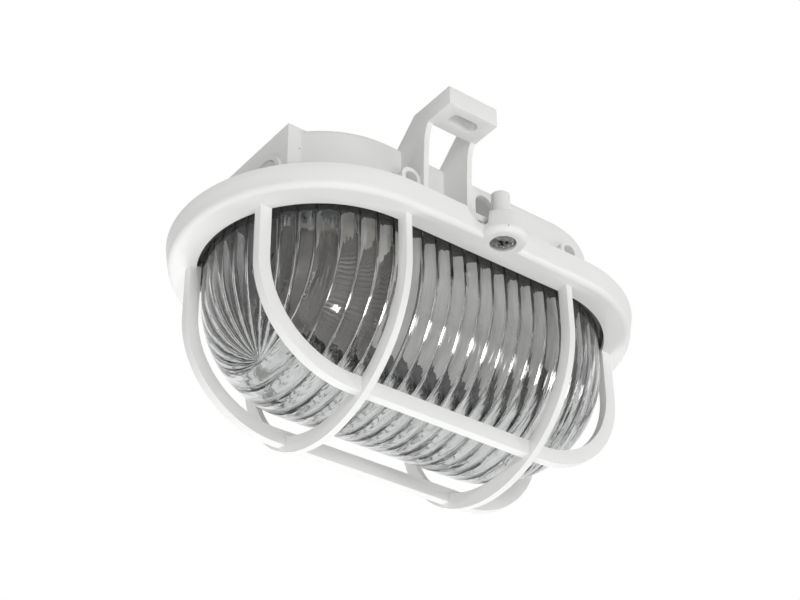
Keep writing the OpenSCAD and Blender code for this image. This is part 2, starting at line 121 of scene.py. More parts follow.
@dataclass(frozen=True)
class Finish:
    """A finish: what the material is, and how its surface was made.

    Attributes:
        name: Name of the real material and how it was made.
        colour: Main colour, sRGB hex.
        second: Colour that it varies to, sRGB hex.
        roughness: Surface roughness.
        metallic: 1 for bare metal.
        ior: Index of refraction.
        patch_mm: Size of the colour variation.
        grain_mm: Size of the surface grain.
        grain_depth_mm: Depth of the grain.
        grain_detail: How many finer grains lie in the grain.
        speck_mm: Radius of small dark specks, 0 for none.
        speck_gap_mm: Mean distance between specks.
        transmission: 1 for glass.
        stretch: Share of its scale that the pattern keeps along X, Y and Z: below 1, it is drawn out.
    """

    name: str
    colour: str
    second: str
    roughness: float
    metallic: float = 0.0
    ior: float = 1.5
    patch_mm: float = 25.0
    grain_mm: float = 1.0
    grain_depth_mm: float = 0.01
    grain_detail: float = 4.0
    speck_mm: float = 0.0
    speck_gap_mm: float = 14.0
    transmission: float = 0.0
    stretch: tuple[float, float, float] = (1.0, 1.0, 1.0)

    def material(self) -> Material:
        """Builds the material, or gives the one that was built before.

        Returns:
            The node material for this finish.
        """
        made = bpy.data.materials.get(self.name)
        if made:
            return made
        made = bpy.data.materials.new(self.name)
        made.use_nodes = True
        tree = made.node_tree
        shader = tree.nodes["Principled BSDF"]
        for socket, value in {"Metallic": self.metallic, "IOR": self.ior,
                              "Transmission Weight": self.transmission}.items():
            shader.inputs[socket].default_value = value
        place = add(tree, "ShaderNodeTexCoord")
        stretched = add(tree, "ShaderNodeMapping", {"Scale": self.stretch},
                        {"Vector": place.outputs["Object"]})
        patches = add(tree, "ShaderNodeTexNoise", {"Scale": per_mm(self.patch_mm), "Detail": PATCH_DETAIL},
                      {"Vector": stretched.outputs["Vector"]})
        colour = add(tree, "ShaderNodeMix",
                     {"data_type": "RGBA", 6: linear(self.colour), 7: linear(self.second)},
                     {0: patches.outputs["Fac"]})
        last = colour.outputs[2]
        if self.speck_mm:
            last = self.specks(tree, place, last)
        tree.links.new(last, shader.inputs["Base Color"])
        grain = add(tree, "ShaderNodeTexNoise",
                    {"Scale": per_mm(self.grain_mm), "Detail": self.grain_detail},
                    {"Vector": stretched.outputs["Vector"]})
        low, high = self.roughness * (1 - ROUGHNESS_SPREAD), self.roughness * (1 + ROUGHNESS_SPREAD)
        spread = add(tree, "ShaderNodeMapRange", {3: low, 4: high}, {0: grain.outputs["Fac"]})
        tree.links.new(spread.outputs[0], shader.inputs["Roughness"])
        bump = add(tree, "ShaderNodeBump", {"Strength": 1.0, "Distance": self.grain_depth_mm * MM},
                   {"Height": grain.outputs["Fac"]})
        tree.links.new(bump.outputs["Normal"], shader.inputs["Normal"])
        return made

    def specks(self, tree: NodeTree, place: Node, under: NodeSocket) -> NodeSocket:
        """Adds tiny dark specks, as dust pressed into a moulding.

        Args:
            tree: The material's node tree.
            place: Its Texture Coordinate node.
            under: Colour that the specks lie on.

        Returns:
            The colour with the specks on it.
        """
        cells = add(tree, "ShaderNodeTexVoronoi", {"Scale": per_mm(self.speck_gap_mm)},
                    {"Vector": place.outputs["Object"]})
        edge = self.speck_mm / self.speck_gap_mm
        spot = add(tree, "ShaderNodeMapRange", {1: edge * SPECK_CORE, 2: edge, 3: 1.0, 4: 0.0},
                   {0: cells.outputs["Distance"]})
        return add(tree, "ShaderNodeMix", {"data_type": "RGBA", 7: linear(SPECK_COLOUR)},
                   {0: spot, 6: under}).outputs[2]


# Injection moulded white plastic: satin skin, a very fine grain, now and then a grey speck.
WHITE_MOULDING = Finish("white_moulded_plastic", "#E6E6E5", "#E0E0DF", 0.42, ior=1.49, patch_mm=40,
                        grain_mm=1.4, grain_depth_mm=0.004, speck_mm=0.4, speck_gap_mm=12)
# Pressed clear soda glass: grey streaks painted into its colour as painted shade for the refraction of cords
# in the wall, and fine drag lines along the beads from the mould.
PRESSED_GLASS = Finish("pressed_clear_glass", "#FFFFFF", "#C2C5C4", 0.01, ior=1.51, patch_mm=2.2,
                       grain_mm=1.5, grain_depth_mm=0.16, grain_detail=1.0, transmission=1.0,
                       stretch=(1.0, 0.15, 0.15))
# Zinc plated steel: bright, with small near-black blotches painted into its colour as painted dark
# reflections.
ZINC_PLATE = Finish("zinc_plated_steel", "#B4B4B2", "#262625", 0.16, metallic=1.0, patch_mm=1.4,
                    grain_mm=0.9, grain_depth_mm=0.03)
# Zinc plated steel strip: rolled, with fine lines along it.
STEEL_STRIP = Finish("rolled_steel_strip", "#A9AAAC", "#95979A", 0.34, metallic=1.0, patch_mm=8,
                     grain_mm=0.5, grain_depth_mm=0.006, stretch=(0.1, 1.0, 0.1))
# Drawn brass: warm, a little dulled.
BRASS = Finish("drawn_brass", "#C7A45A", "#B08A45", 0.28, metallic=1.0, patch_mm=6,
               grain_mm=0.5, grain_depth_mm=0.005)
# Moulded bakelite: dark grey brown, with a soft gloss.
BAKELITE = Finish("moulded_dark_bakelite", "#69645F", "#5C5753", 0.3, ior=1.6, patch_mm=6,
                  grain_mm=0.8, grain_depth_mm=0.006)
# Cut sheet rubber: matt black, faintly grainy.
BLACK_RUBBER = Finish("cut_black_rubber", "#2E2E2E", "#383838", 0.75, ior=1.52, patch_mm=5,
                      grain_mm=0.5, grain_depth_mm=0.03)
# Moulded pale rubber: matt, slightly warm.
PALE_RUBBER = Finish("moulded_pale_rubber", "#E2E2E0", "#DADAD8", 0.62, ior=1.52, patch_mm=6,
                     grain_mm=0.7, grain_depth_mm=0.012)
# Natural nylon: milky, a touch yellow.
NYLON = Finish("natural_nylon", "#DDD9CB", "#D2CDBD", 0.45, ior=1.53, patch_mm=6,
               grain_mm=0.8, grain_depth_mm=0.006)
# Drawn wire insulation: smooth coloured PVC.
BROWN_PVC = Finish("brown_pvc_insulation", "#5A3420", "#4E2C1A", 0.4, ior=1.53, patch_mm=4,
                   grain_mm=0.5, grain_depth_mm=0.004)
BLUE_PVC = Finish("blue_pvc_insulation", "#2C5C9E", "#254F8C", 0.4, ior=1.53, patch_mm=4,
                  grain_mm=0.5, grain_depth_mm=0.004)


def finish_mesh(mesh: Mesh, finish: Finish, smooth_deg: float) -> None:
    """Gives a mesh its material and smooth shading.

    Args:
        mesh: The mesh.
        finish: Its finish.
        smooth_deg: Edges sharper than this stay sharp.
    """
    mesh.materials.clear()
    mesh.materials.append(finish.material())
    mesh.shade_smooth()
    mesh.set_sharp_from_angle(angle=math.radians(smooth_deg))


def shown(name: str, mesh: Mesh, finish: Finish, smooth_deg: float = 35.0) -> Object:
    """Makes an object of a finished mesh, with its material and smooth shading.

    Args:
        name: Name of the piece.
        mesh: Its mesh, in the shared frame.
        finish: Its finish.
        smooth_deg: Edges sharper than this stay sharp.

    Returns:
        The new object, at the origin.
    """
    piece = bpy.data.objects.new(name, mesh)
    bpy.context.scene.collection.objects.link(piece)
    finish_mesh(mesh, finish, smooth_deg)
    return piece


def plain_mesh(piece: Object) -> None:
    """Turns a piece with modifiers into one with a plain mesh.

    Args:
        piece: The piece.
    """
    bpy.context.view_layer.update()
    graph = bpy.context.evaluated_depsgraph_get()
    mesh = bpy.data.meshes.new_from_object(piece.evaluated_get(graph), depsgraph=graph)
    piece.modifiers.clear()
    piece.data = mesh


def ring_faces(rows: int, count: int) -> list[tuple[int, ...]]:
    """Lists the faces between rings of points that follow one another.

    Args:
        rows: Number of rings.
        count: Points in each ring.

    Returns:
        The faces as numbers of points.
    """
    return [(k * count + i, k * count + (i + 1) % count, (k + 1) * count + (i + 1) % count,
             (k + 1) * count + i) for k in range(rows - 1) for i in range(count)]


def closed_mesh(name: str, verts: list[Vector], faces: list[tuple[int, ...]],
                shares: dict[str, list[float]] | None = None,
                ways: dict[str, list[Vector]] | None = None) -> Mesh:
    """Makes a mesh with its doubles merged and its faces turned outwards.

    Args:
        name: Name of the mesh.
        verts: Its points, m.
        faces: Its faces as numbers of points.
        shares: Numbers of the points, by the name of the attribute that holds them.
        ways: Directions of the points, by the name of the attribute that holds them.

    Returns:
        The new mesh.
    """
    mesh = bpy.data.meshes.new(name)
    mesh.from_pydata(verts, [], faces)
    for key, values in (shares or {}).items():
        mesh.attributes.new(key, "FLOAT", "POINT").data.foreach_set("value", values)
    for key, values in (ways or {}).items():
        flat = [c for v in values for c in v]
        mesh.attributes.new(key, "FLOAT_VECTOR", "POINT").data.foreach_set("vector", flat)
    work = bmesh.new()
    work.from_mesh(mesh)
    bmesh.ops.remove_doubles(work, verts=work.verts, dist=MERGE_MM * MM)
    bmesh.ops.dissolve_degenerate(work, edges=work.edges, dist=SLIVER_MM * MM)
    bmesh.ops.recalc_face_normals(work, faces=work.faces)
    work.to_mesh(mesh)
    work.free()
    return mesh


def sized_tree(name: str, *sizes: str) -> tuple[NodeTree, NodeOutputs]:
    """Starts a geometry node tree with named inputs.

    Args:
        name: Name of the tree.
        *sizes: Names of its sizes.

    Returns:
        The tree, and the sockets of its inputs.
    """
    tree = bpy.data.node_groups.new(name, "GeometryNodeTree")
    face = tree.interface
    face.new_socket("Geometry", in_out="INPUT", socket_type="NodeSocketGeometry")
    for size in sizes:
        face.new_socket(size, in_out="INPUT", socket_type="NodeSocketFloat")
    face.new_socket("Material", in_out="INPUT", socket_type="NodeSocketMaterial")
    face.new_socket("Geometry", in_out="OUTPUT", socket_type="NodeSocketGeometry")
    return tree, add(tree, "NodeGroupInput").outputs


def move_points(tree: NodeTree, given: NodeOutputs, offset: NodeSocket) -> None:
    """Ends a geometry node tree that moves the points of what it is given.

    Args:
        tree: The tree.
        given: Sockets of its inputs.
        offset: How far each point moves.
    """
    moved = add(tree, "GeometryNodeSetPosition", links={"Geometry": given["Geometry"], "Offset": offset})
    whole = add(tree, "GeometryNodeRealizeInstances", links={0: moved})
    dressed = add(tree, "GeometryNodeSetMaterial",
                  links={"Geometry": whole, "Material": given["Material"]})
    add(tree, "NodeGroupOutput", links={0: dressed})


def grow(piece: Object, tree: NodeTree, finish: Finish, sizes: dict[str, float]) -> None:
    """Runs a geometry node tree on a piece, and leaves a plain mesh without what the tree read.

    Args:
        piece: The piece.
        tree: The tree.
        finish: The piece's finish.
        sizes: Values of the tree's sizes by name.
    """
    attributes = [item.name for item in piece.data.attributes if item.name.startswith("tree_")]
    modifier = piece.modifiers.new(tree.name, "NODES")
    modifier.node_group = tree
    values = {**sizes, "Material": finish.material()}
    for item in tree.interface.items_tree:
        if item.in_out == "INPUT" and item.name in values:
            modifier[item.identifier] = values[item.name]
    plain_mesh(piece)
    for name in attributes:
        piece.data.attributes.remove(piece.data.attributes[name])


def settle(piece: Object, rider: Rider, slot: str, *nodes: str) -> None:
    """Says which body a piece rides and which CAD nodes it stands for.

    Args:
        piece: The finished piece.
        rider: Body that it rides on.
        slot: The record's material slot; not used.
        *nodes: CAD nodes that it replaces.
    """
    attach(piece, rider.value)
    if nodes:
        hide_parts(*nodes)
    log.info("%s: %d faces on %s", piece.name, len(piece.data.polygons), rider.value)


@dataclass
class Moulding:
    """A moulded piece that follows its CAD node, with its edges eased as a mould leaves them.

    Attributes:
        node: CAD node that it follows.
        rider: Body that it rides on.
        edge_mm: Radius of the eased edges.
        segments: Faces across an eased edge.
        ease_deg: Edges sharper than this are eased.
        smooth_deg: Edges sharper than this stay sharp in the shading.
        merge_mm: Points nearer than this are merged.
        sliver_mm: Edges shorter than this are dissolved.
        flat_deg: Faces that turn less than this become one.
        finish: Its finish.
        slot: The record's material slot.
    """

    node: str
    rider: Rider
    edge_mm: float = 0.5
    segments: int = 3
    ease_deg: float = 40.0
    smooth_deg: float = 50.0
    merge_mm: float = 0.004
    sliver_mm: float = 0.01
    flat_deg: float = 0.4
    finish: Finish = WHITE_MOULDING
    slot: str = "white_plastic"

    def build(self) -> Object:
        """Builds the moulding from a merged copy of the node's mesh.

        Returns:
            The finished piece.
        """
        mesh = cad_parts[self.node].data.copy()
        work = bmesh.new()
        work.from_mesh(mesh)
        bmesh.ops.remove_doubles(work, verts=work.verts, dist=self.merge_mm * MM)
        bmesh.ops.dissolve_degenerate(work, edges=work.edges, dist=self.sliver_mm * MM)
        bmesh.ops.dissolve_limit(work, angle_limit=math.radians(self.flat_deg), verts=work.verts,
                                 edges=work.edges)
        work.to_mesh(mesh)
        work.free()
        piece = shown(f"{self.node}_moulding", mesh, self.finish)
        ease = piece.modifiers.new("eased_edges", "BEVEL")
        ease.width = self.edge_mm * MM
        ease.segments = self.segments
        ease.limit_method = "ANGLE"
        ease.angle_limit = math.radians(self.ease_deg)
        ease.use_clamp_overlap = True
        ease.miter_outer = "MITER_ARC"
        plain_mesh(piece)
        finish_mesh(piece.data, self.finish, self.smooth_deg)
        settle(piece, self.rider, self.slot, self.node)
        return piece


@dataclass
class RibbedGlass:
    """The pressed glass: smooth racetrack dome outside, and inside convex beads with valleys between them.

    Attributes:
        mid: Half the distance between the centres of the rounded ends, mm.
        outer: Outside radius, mm.
        wall: Wall thickness in a valley, mm.
        rim: Outside radius of the rim, mm.
        rim_low: Height of the rim's lower face, mm.
        rim_top: Height of the rim's upper face, mm.
        dome: Height at which the round part starts, mm.
        pitch: Distance between two valleys, mm.
        bead: How far a bead stands in, mm.
        cross: Number of beads from the middle to the centre of each end's fan.
        fan: Number of beads in a quarter of a fan.
        places: Places of the lines across a bead, closer together beside the valley.
        arc_steps: Steps from the bottom to the straight wall.
        wall_steps: Steps up the straight wall.
        edge: Radius of the rim's edges, mm.
        fade: Distance from a fan's centre within which its beads fade out, mm.
        top_gap: How far below the rim's upper face the beads end, mm.
        dome_power: Power of the round part of a bead's section.
        flank_power: Power of the steep part beside a valley.
        flank_share: Share of the steep part in the section.
    """

    mid: float = 39.5
    outer: float = 43.5
    wall: float = 3.2
    rim: float = 50.0
    rim_low: float = -45.2
    rim_top: float = -42.2
    dome: float = -59.0
    pitch: float = 6.4
    bead: float = 0.9
    cross: int = 10
    fan: int = 6
    places: tuple[float, ...] = (0.0, 0.03, 0.06, 0.1, 0.175, 0.3, 0.5, 0.7, 0.825, 0.9, 0.94, 0.97)
    arc_steps: int = 36
    wall_steps: int = 4
    edge: float = 0.5
    fade: float = 9.0
    top_gap: float = 0.7
    dome_power: float = 2.0
    flank_power: float = 5.0
    flank_share: float = 0.7

    @property
    def inner(self) -> float:
        """Inside radius in a valley.

        Returns:
            The radius, mm.
        """
        return self.outer - self.wall

    @property
    def pole(self) -> float:
        """Distance of the fans' centres from the middle.

        Returns:
            The distance, mm.
        """
        return self.cross * self.pitch

    @property
    def offset(self) -> float:
        """How far a fan's centre lies past its end's centre.

        Returns:
            The distance as a share of the inside radius.
        """
        return (self.pole - self.mid) / self.inner

    @property
    def fan_pitch(self) -> float:
        """Turn about an end's centre from one valley of its fan to the next.

        Returns:
            The turn, radians.
        """
        return math.acos(self.offset) / self.fan

    @property
    def quarter(self) -> list[float]:
        """Turns from the bottom of the dome to the straight wall.

        Returns:
            The turns, radians.
        """
        return [math.pi / 2 * k / self.arc_steps for k in range(self.arc_steps + 1)]

    def arc_across(self, x: float, side: int) -> list[Vector]:
        """Points of the inner surface on a plane across the light, from the bottom to the straight wall.

        Args:
            x: Place of the plane, mm.
            side: 1 for the far half, -1 for the near half.

        Returns:
            Points in mm.
        """
        r = math.sqrt(self.inner ** 2 - max(0.0, abs(x) - self.mid) ** 2)
        return [Vector((x, side * r * math.sin(a), self.dome - r * math.cos(a))) for a in self.quarter]

    def arc_fanned(self, angle: float, end: int) -> list[Vector]:
        """Points of the inner surface on an upright plane through a fan's centre, up to the straight wall.

        Args:
            angle: Turn of the plane from the light's length, radians.
            end: 1 or -1 for the two ends.

        Returns:
            Points in mm.
        """
        gap = self.pole - self.mid
        r = math.sqrt(self.inner ** 2 - (gap * math.sin(angle)) ** 2)
        first = math.asin(min(1.0, gap * math.cos(angle) / r))
        points = []
        for k in range(self.arc_steps + 1):
            turn = first + (math.pi / 2 - first) * k / self.arc_steps
            s = r * math.sin(turn) - gap * math.cos(angle)
            points.append(Vector((end * (self.pole + s * math.cos(angle)), s * math.sin(angle),
                                  self.dome - r * math.cos(turn))))
        return points

    def arcs(self) -> list[list[Vector]]:
        """All lines of the inner surface's round part, in order round the light.

        Returns:
            The lines, each from the bottom up, in mm.
        """
        xs = [self.pitch * (k + place) for k in range(-self.cross, self.cross) for place in self.places]
        turns = [self.fan_pitch * (k + place) for k in range(-self.fan, self.fan) for place in self.places]
        angles = [math.atan2(math.sin(t), math.cos(t) - self.offset) for t in turns]
        return ([self.arc_across(x, -1) for x in xs] + [self.arc_fanned(a, 1) for a in angles]
                + [self.arc_across(-x, 1) for x in xs] + [self.arc_fanned(-a, -1) for a in angles])

    def outside_section(self) -> list[tuple[float, float]]:
        """Section of the outside from the bottom, up the wall and round the rim, to the rim's inner edge.

        Returns:
            Radius and height of its points, mm.
        """
        edge = self.edge
        # The middle of a quarter round lies at 0.3 of its radius from both faces.
        middle = 0.3 * edge
        section = [(self.outer * math.sin(a), self.dome - self.outer * math.cos(a)) for a in self.quarter]
        return section + [(self.outer, self.rim_low - edge), (self.outer + middle, self.rim_low - middle),
                          (self.outer + edge, self.rim_low), (self.rim - edge, self.rim_low),
                          (self.rim, self.rim_low + edge), (self.rim, self.rim_top - edge),
                          (self.rim - edge, self.rim_top), (self.inner, self.rim_top)]

    def shell(self) -> Mesh:
        """Lays the smooth outside and the still smooth inside, as one closed mesh.

        Returns:
            The mesh, with each point's way inwards and its share of a bead's height as attributes.
        """
        verts, faces, inward, share = [], [], [], []
        span = self.rim_top - self.top_gap - self.dome
        walls = [self.dome + span * k / self.wall_steps for k in range(1, self.wall_steps + 1)]
        lines = self.arcs()
        for part in ("inside", "outside"):
            start = len(verts)
            for arc in lines:
                top = arc[-1]
                centre = Vector((max(-self.mid, min(self.mid, top.x)), 0, self.dome))
                out = (top - centre).normalized()
                if part == "inside":
                    points = arc + [Vector((top.x, top.y, z)) for z in walls + [self.rim_top]]
                    pole = math.copysign(self.pole, top.x)
                    for p in points:
                        fanned = abs(p.x) > self.pole - TINY
                        near = Vector((p.x - pole, p.y, 0)).length if fanned else self.fade
                        heart = Vector((max(-self.mid, min(self.mid, p.x)), 0, max(self.dome, p.z)))
                        inward.append((heart - p).normalized())
                        beaded = p.z < self.rim_top - self.top_gap / 2
                        share.append(min(1.0, near / self.fade) if beaded else 0.0)
                else:
                    points = [Vector((centre.x + out.x * r, out.y * r, z))
                              for r, z in self.outside_section()]
                    inward += [Vector((0, 0, 1))] * len(points)
                    share += [0.0] * len(points)
                verts += [p * MM for p in points]
            high = len(points)
            for i in range(len(lines)):
                a, b = start + i * high, start + (i + 1) % len(lines) * high
                faces += [(a + k, b + k, b + k + 1, a + k + 1) for k in range(high - 1)]
        return closed_mesh("ribbed_glass", verts, faces, {"tree_share": share}, {"tree_inward": inward})

    def bead_tree(self) -> NodeTree:
        """Builds the tree that raises the beads, by X across the middle and by the turn in each end's fan.

        Returns:
            The geometry node tree, with its sizes as named inputs.
        """
        tree, given = sized_tree("glass_beads", "Bead pitch", "Bead height", "Fan centre", "End offset",
                                 "Fan pitch")
        place = add(tree, "GeometryNodeInputPosition")
        where = add(tree, "ShaderNodeSeparateXYZ", links={0: place}).outputs
        away = add(tree, "ShaderNodeMath", {"operation": "ABSOLUTE"}, {0: where["X"]})
        past = add(tree, "ShaderNodeMath", {"operation": "SUBTRACT"}, {0: away, 1: given["Fan centre"]})
        turn = add(tree, "ShaderNodeMath", {"operation": "ARCTAN2"}, {0: where["Y"], 1: past})
        sine = add(tree, "ShaderNodeMath", {"operation": "SINE"}, {0: turn})
        offset = add(tree, "ShaderNodeMath", {"operation": "MULTIPLY"}, {0: sine, 1: given["End offset"]})
        lean = add(tree, "ShaderNodeMath", {"operation": "ARCSINE"}, {0: offset})
        about = add(tree, "ShaderNodeMath", {"operation": "SUBTRACT"}, {0: turn, 1: lean})
        fanned = add(tree, "ShaderNodeMath", {"operation": "DIVIDE"}, {0: about, 1: given["Fan pitch"]})
        cross = add(tree, "ShaderNodeMath", {"operation": "DIVIDE"}, {0: where["X"], 1: given["Bead pitch"]})
        ends = add(tree, "ShaderNodeMath", {"operation": "GREATER_THAN", 1: 0.0}, {0: past})
        phase = add(tree, "ShaderNodeMix", {"data_type": "FLOAT"}, {0: ends, 2: cross, 3: fanned})
        valley = add(tree, "ShaderNodeMath", {"operation": "PINGPONG", 1: 0.5}, {0: phase})
        slope = add(tree, "ShaderNodeMapRange", {1: 0.0, 2: 0.5, 3: 1.0, 4: 0.0}, {0: valley})
        dome = add(tree, "ShaderNodeMath", {"operation": "POWER", 1: self.dome_power}, {0: slope})
        flank = add(tree, "ShaderNodeMath", {"operation": "POWER", 1: self.flank_power}, {0: slope})
        drop = add(tree, "ShaderNodeMix", {"data_type": "FLOAT", 0: self.flank_share},
                   {2: dome, 3: flank})
        bead = add(tree, "ShaderNodeMath", {"operation": "SUBTRACT", 0: 1.0}, {1: drop})
        share = add(tree, "GeometryNodeInputNamedAttribute", {"data_type": "FLOAT", "Name": "tree_share"})
        inward = add(tree, "GeometryNodeInputNamedAttribute",
                     {"data_type": "FLOAT_VECTOR", "Name": "tree_inward"})
        shared = add(tree, "ShaderNodeMath", {"operation": "MULTIPLY"}, {0: bead, 1: share})
        high = add(tree, "ShaderNodeMath", {"operation": "MULTIPLY"},
                   {0: shared, 1: given["Bead height"]})
        shift = add(tree, "ShaderNodeVectorMath", {"operation": "SCALE"}, {0: inward, "Scale": high})
        move_points(tree, given, shift.outputs[0])
        return tree

    def build(self) -> Object:
        """Builds the glass.

        Returns:
            The finished piece.
        """
        piece = shown("ribbed_glass", self.shell(), PRESSED_GLASS, smooth_deg=60.0)
        sizes = {"Bead pitch": self.pitch * MM, "Bead height": self.bead * MM,
                 "Fan centre": self.pole * MM, "End offset": self.offset, "Fan pitch": self.fan_pitch}
        grow(piece, self.bead_tree(), PRESSED_GLASS, sizes)
        piece.visible_diffuse = False
        settle(piece, Rider.GUARD, "clear_glass", "glass")
        return piece


@dataclass
class LippedGasket:
    """The rubber gasket: a flat ring on the glass's rim, with a thin soft lip that stands in past its wall.

    Attributes:
        mid: Half the distance between the centres of the rounded ends, mm.
        outer: Outside radius, mm.
        flat: Radius at which the lip starts, mm.
        lip: Radius of the lip's edge, mm.
        low: Height of the lower face, mm.
        top: Height of the upper face, mm.
        soft: Radius of the ring's edges, mm.
        root_t: Thickness of the lip where it starts, mm.
        lip_t: Thickness of the lip at its edge, mm.
        lip_edge: How far the lip's edge is rounded, mm.
        steps: Steps round each end.
    """

    mid: float = 39.5
    outer: float = 50.0
    flat: float = 37.5
    lip: float = 34.6
    low: float = -42.2
    top: float = -39.9
    soft: float = 0.3
    root_t: float = 1.0
    lip_t: float = 0.6
    lip_edge: float = 0.1
    steps: int = 64

    def build(self) -> Object:
        """Builds the gasket.

        Returns:
            The finished piece.
        """
        soft, inside = self.soft, self.lip + self.lip_edge
        section = [(inside, self.low), (self.flat, self.low), (self.outer - soft, self.low),
                   (self.outer, self.low + soft), (self.outer, self.top - soft),
                   (self.outer - soft, self.top), (self.flat + soft, self.top), (self.flat, self.top - soft),
                   (self.flat - soft, self.low + self.root_t), (inside, self.low + self.lip_t),
                   (self.lip, self.low + self.lip_t / 2)]
        turns = [(end, math.pi * (k / self.steps - 0.5)) for end in (1, -1) for k in range(self.steps + 1)]
        verts = [Vector((end * (self.mid + r * math.cos(a)), end * r * math.sin(a), z)) * MM
                 for end, a in turns for r, z in section]
        count, high = len(turns), len(section)
        faces = [(i * high + k, (i + 1) % count * high + k, (i + 1) % count * high + (k + 1) % high,
                  i * high + (k + 1) % high) for i in range(count) for k in range(high)]
        mesh = closed_mesh("gasket_with_lip", verts, faces)
        piece = shown("gasket_with_lip", mesh, BLACK_RUBBER, smooth_deg=40.0)
        settle(piece, Rider.GUARD, "black_rubber", "gasket")
        return piece


@dataclass
class ClosingScrew:
    """The captive closing screw: domed pan head with a pressed cross recess, and a threaded shank.

    Attributes:
        y: Place of its axis, mm.
        low: Height of the head's crown, mm.
        bear: Height of the head's bearing face, mm.
        tip: Height of the shank's end, mm.
        head_r: Radius of the head, mm.
        shank_r: Radius of the shank, mm.
        pitch: Pitch of the thread, mm.
        deep: Depth of the thread, mm.
        crown: Height of the head's crown over its edge, mm.
        crown_power: Power that sets how full the crown is.
        edge: Bevel of the head's bearing edge, mm.
        plain: Length of the plain shank under the head, mm.
        thread_at: Distance from the bearing face to the thread's start, mm.
        thread_end: Distance from the thread's end to the shank's end, mm.
        tip_long: Length of the tapered tip, mm.
        tip_r: Radius of the tip's flat, mm.
        arm_open: Half length and half width of a recess arm's cutter outside the crown, mm.
        arm_floor: Half length and half width of a recess arm at its floor, mm.
        recess: Depth of the recess, mm.
        stand_out: How far the recess's cutter stands out of the crown, mm.
        turn_deg: Turn of the cross recess.
        smooth_deg: Edges sharper than this stay sharp in the shading.
        steps: Steps round the screw.
        crown_steps: Steps from the crown's middle to its edge.
        thread_steps: Steps along one turn of the thread.
    """

    y: float = -56.5
    low: float = -47.6
    bear: float = -44.5
    tip: float = -34.5
    head_r: float = 4.7
    shank_r: float = 2.0
    pitch: float = 0.7
    deep: float = 0.38
    crown: float = 1.7
    crown_power: float = 0.75
    edge: float = 0.15
    plain: float = 1.4
    thread_at: float = 1.6
    thread_end: float = 0.6
    tip_long: float = 0.45
    tip_r: float = 1.1
    arm_open: tuple[float, float] = (2.7, 0.52)
    arm_floor: tuple[float, float] = (0.8, 0.3)
    recess: float = 1.9
    stand_out: float = 0.4
    turn_deg: float = 24.0
    smooth_deg: float = 30.0
    steps: int = 48
    crown_steps: int = 12
    thread_steps: int = 8

    def rows(self) -> list[tuple[float, float, float]]:
        """Rows of the screw from the crown's middle to the shank's end.

        Returns:
            Radius and height in mm, and share of the thread's depth, of each row.
        """
        turns = [math.pi / 2 * k / self.crown_steps for k in range(self.crown_steps + 1)]
        head = [(self.head_r * math.sin(a) ** self.crown_power,
                 self.low + self.crown * (1 - max(0.0, math.cos(a)) ** self.crown_power), 0.0)
                for a in turns]
        neck = [(self.head_r, self.bear - self.edge, 0.0), (self.head_r - self.edge, self.bear, 0.0),
                (self.shank_r, self.bear, 0.0), (self.shank_r, self.bear + self.plain, 0.0)]
        first = self.bear + self.thread_at
        count = round((self.tip - self.thread_end - first) / self.pitch * self.thread_steps)
        thread = [(self.shank_r, first + self.pitch / self.thread_steps * k, min(1.0, k / self.thread_steps))
                  for k in range(count)]
        tip = [(self.shank_r - self.deep, self.tip - self.tip_long, 0.0), (self.tip_r, self.tip, 0.0),
               (0.0, self.tip, 0.0)]
        return head + neck + thread + tip

    def turned(self) -> Mesh:
        """Lays the head and the threaded shank round the axis.

        Returns:
            The closed mesh, without the recess.
        """
        verts, rows = [], self.rows()
        for r, z, share in rows:
            for i in range(self.steps):
                phase = (z / self.pitch - i / self.steps) % 1.0
                real = r - share * self.deep * abs(2 * phase - 1)
                a = 2 * math.pi * i / self.steps
                verts.append(Vector((real * math.cos(a), self.y + real * math.sin(a), z)) * MM)
        return closed_mesh("closing_screw", verts, ring_faces(len(rows), self.steps))

    def wedge(self, turn: float) -> Object:
        """Makes one arm of the cross recess as a tapered cutter.

        Args:
            turn: Turn of the arm about the axis, radians.

        Returns:
            The cutter.
        """
        verts = []
        ends = ((self.arm_open, self.low - self.stand_out), (self.arm_floor, self.low + self.recess))
        for (half, wide), z in ends:
            for u, v in ((-half, -wide), (half, -wide), (half, wide), (-half, wide)):
                verts.append(Vector((u * math.cos(turn) - v * math.sin(turn),
                                     self.y + u * math.sin(turn) + v * math.cos(turn), z)) * MM)
        faces = [(0, 1, 2, 3), (4, 5, 6, 7)] + [(i, (i + 1) % 4, 4 + (i + 1) % 4, 4 + i) for i in range(4)]
        cutter = bpy.data.objects.new("cross_arm", closed_mesh("cross_arm", verts, faces))
        bpy.context.scene.collection.objects.link(cutter)
        return cutter

    def build(self) -> Object:
        """Builds the screw.

        Returns:
            The finished piece.
        """
        piece = shown("closing_screw_plated", self.turned(), ZINC_PLATE)
        cutters = [self.wedge(math.radians(self.turn_deg + turn)) for turn in (0, 90)]
        for cutter in cutters:
            cut = piece.modifiers.new("cross_recess", "BOOLEAN")
            cut.operation = "DIFFERENCE"
            cut.solver = "EXACT"
            cut.object = cutter
        plain_mesh(piece)
        for cutter in cutters:
            bpy.data.objects.remove(cutter)
        finish_mesh(piece.data, ZINC_PLATE, self.smooth_deg)
        settle(piece, Rider.GUARD, "plated_steel", "closing_screw")
        return piece


